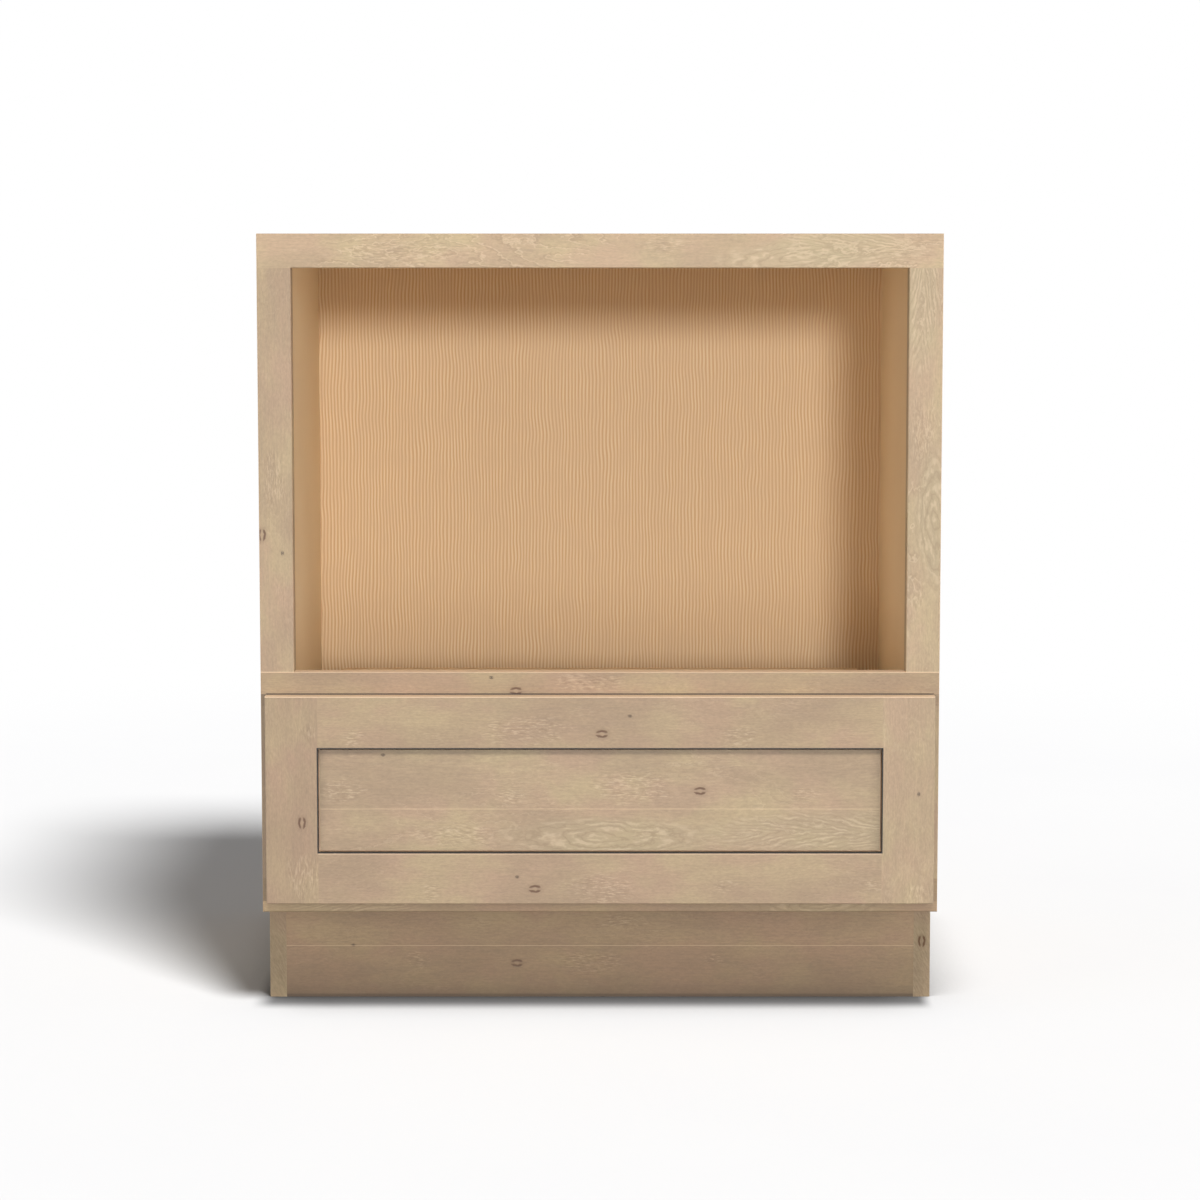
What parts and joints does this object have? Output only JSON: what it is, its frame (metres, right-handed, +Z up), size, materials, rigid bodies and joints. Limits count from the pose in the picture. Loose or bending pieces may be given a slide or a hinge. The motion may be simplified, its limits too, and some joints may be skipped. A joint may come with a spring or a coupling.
{
  "type": "microwave base cabinet",
  "caption": "Framed base cabinet with an open microwave compartment over a full-width drawer on ball-bearing slides, and a recessed toe kick.",
  "frame": {"origin": "on the floor under the middle of the cabinet's bounding box, drawer closed", "axes": "+Z up, +X to the right seen from the front, +Y from the front towards the wall; the drawer opens along -Y"},
  "size_m": [0.762, 0.6302, 0.8763],
  "materials": {
    "stained_maple": "pale taupe stain, satin lacquer",
    "case_plywood": "smooth natural plywood with a clear finish inside, stained outside",
    "ribbed_back": "thin plywood with fine upright figure, clear finish",
    "bare_pine": "unfinished softwood",
    "drawer_maple": "clear lacquered hardwood and plywood",
    "zinc_steel": "zinc plated sheet",
    "bearing_steel": "polished",
    "screw_steel": "zinc plated",
    "clear_bumper": "soft translucent"
  },
  "bodies": {
    "case": {"top_rail": "stained_maple", "middle_rail": "stained_maple", "bottom_rail": "stained_maple", "upper_stile_left": "stained_maple", "upper_stile_right": "stained_maple", "lower_stile_left": "stained_maple", "lower_stile_right": "stained_maple", "toe_board": "stained_maple", "side_panel_left": "case_plywood", "side_panel_right": "case_plywood", "bottom_panel": "case_plywood", "top_panel": "case_plywood", "back_panel": "ribbed_back", "top_nailer": "bare_pine", "bottom_nailer": "bare_pine", "glue_blocks": "bare_pine", "slide_block_left": "bare_pine", "slide_block_right": "bare_pine", "slide_case_member_left": "zinc_steel", "slide_case_member_right": "zinc_steel", "frame_pocket_screws": "screw_steel", "slide_block_screws": "screw_steel", "slide_case_screws": "screw_steel"},
    "drawer": {"front_stile_left": "stained_maple", "front_stile_right": "stained_maple", "front_top_rail": "stained_maple", "front_bottom_rail": "stained_maple", "front_panel": "stained_maple", "drawer_side_left": "drawer_maple", "drawer_side_right": "drawer_maple", "drawer_box_front": "drawer_maple", "drawer_box_back": "drawer_maple", "drawer_bottom": "drawer_maple", "slide_drawer_member_left": "zinc_steel", "slide_drawer_member_right": "zinc_steel", "slide_drawer_screws": "screw_steel", "drawer_front_screws": "screw_steel", "drawer_bumpers": "clear_bumper"},
    "slide_middle_left": {"slide_middle_member_left": "zinc_steel"},
    "outer_cage_left": {"outer_ball_cage_left": "zinc_steel", "outer_balls_left": "bearing_steel"},
    "inner_cage_left": {"inner_ball_cage_left": "zinc_steel", "inner_balls_left": "bearing_steel"},
    "slide_middle_right": {"slide_middle_member_right": "zinc_steel"},
    "outer_cage_right": {"outer_ball_cage_right": "zinc_steel", "outer_balls_right": "bearing_steel"},
    "inner_cage_right": {"inner_ball_cage_right": "zinc_steel", "inner_balls_right": "bearing_steel"}
  },
  "joints": [
    {"name": "drawer_slide", "type": "slide", "parent": "case", "child": "drawer", "axis": [0, -1, 0], "range_m": [0, 0.5334]},
    {"name": "outer_cage_left_slide", "type": "slide", "parent": "case", "child": "outer_cage_left", "axis": [0, -1, 0], "range_m": [0, 0.13335]},
    {"name": "slide_middle_left_slide", "type": "slide", "parent": "case", "child": "slide_middle_left", "axis": [0, -1, 0], "range_m": [0, 0.2667]},
    {"name": "inner_cage_left_slide", "type": "slide", "parent": "case", "child": "inner_cage_left", "axis": [0, -1, 0], "range_m": [0, 0.40005]},
    {"name": "outer_cage_right_slide", "type": "slide", "parent": "case", "child": "outer_cage_right", "axis": [0, -1, 0], "range_m": [0, 0.13335]},
    {"name": "slide_middle_right_slide", "type": "slide", "parent": "case", "child": "slide_middle_right", "axis": [0, -1, 0], "range_m": [0, 0.2667]},
    {"name": "inner_cage_right_slide", "type": "slide", "parent": "case", "child": "inner_cage_right", "axis": [0, -1, 0], "range_m": [0, 0.40005]}
  ],
  "couplings": [
    {"joint": "outer_cage_left_slide", "follows": "drawer_slide", "ratio": 0.25},
    {"joint": "slide_middle_left_slide", "follows": "drawer_slide", "ratio": 0.5},
    {"joint": "inner_cage_left_slide", "follows": "drawer_slide", "ratio": 0.75},
    {"joint": "outer_cage_right_slide", "follows": "drawer_slide", "ratio": 0.25},
    {"joint": "slide_middle_right_slide", "follows": "drawer_slide", "ratio": 0.5},
    {"joint": "inner_cage_right_slide", "follows": "drawer_slide", "ratio": 0.75}
  ]
}
